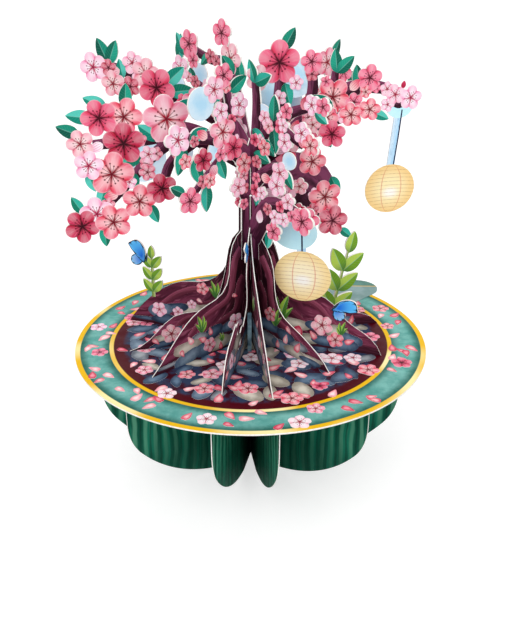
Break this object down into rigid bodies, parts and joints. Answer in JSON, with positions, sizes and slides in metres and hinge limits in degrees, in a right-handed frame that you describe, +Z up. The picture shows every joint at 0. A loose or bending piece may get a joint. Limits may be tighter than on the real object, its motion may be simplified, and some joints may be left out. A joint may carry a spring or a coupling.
{
  "type": "pop up card",
  "caption": "Paper pop up card: crossed sheets make a blossom tree with roots and lanterns on a round tray over a bowl.",
  "frame": {"origin": "bottom centre, on the trunk axis", "axes": "+Z up along the trunk, -Y towards the front of the card, the card folds flat about Y"},
  "size_m": [0.2, 0.2, 0.2519],
  "materials": {
    "tray_print": "printed, satin",
    "bowl_print": "printed, satin",
    "bark_print": "printed, satin",
    "blossom_print": "printed, satin",
    "lantern_print": "printed, satin",
    "strip_card": "matte"
  },
  "bodies": {
    "root": {"tray_disc": "tray_print", "note_tab": "tray_print", "spine_strip": "strip_card", "pot_sheet_1": "bowl_print", "pot_sheet_2": "bowl_print", "pot_sheet_3": "bowl_print", "pot_sheet_4": "bowl_print", "pot_sheet_5": "bowl_print", "pot_sheet_6": "bowl_print", "root_sheet_1": "bark_print", "tree_sheet_2": "blossom_print", "tree_sheet_3": "blossom_print", "tree_sheet_4": "blossom_print", "tree_sheet_5": "blossom_print", "root_sheet_6": "bark_print", "centre_pendant": "lantern_print", "right_pendant": "lantern_print"}
  },
  "joints": []
}
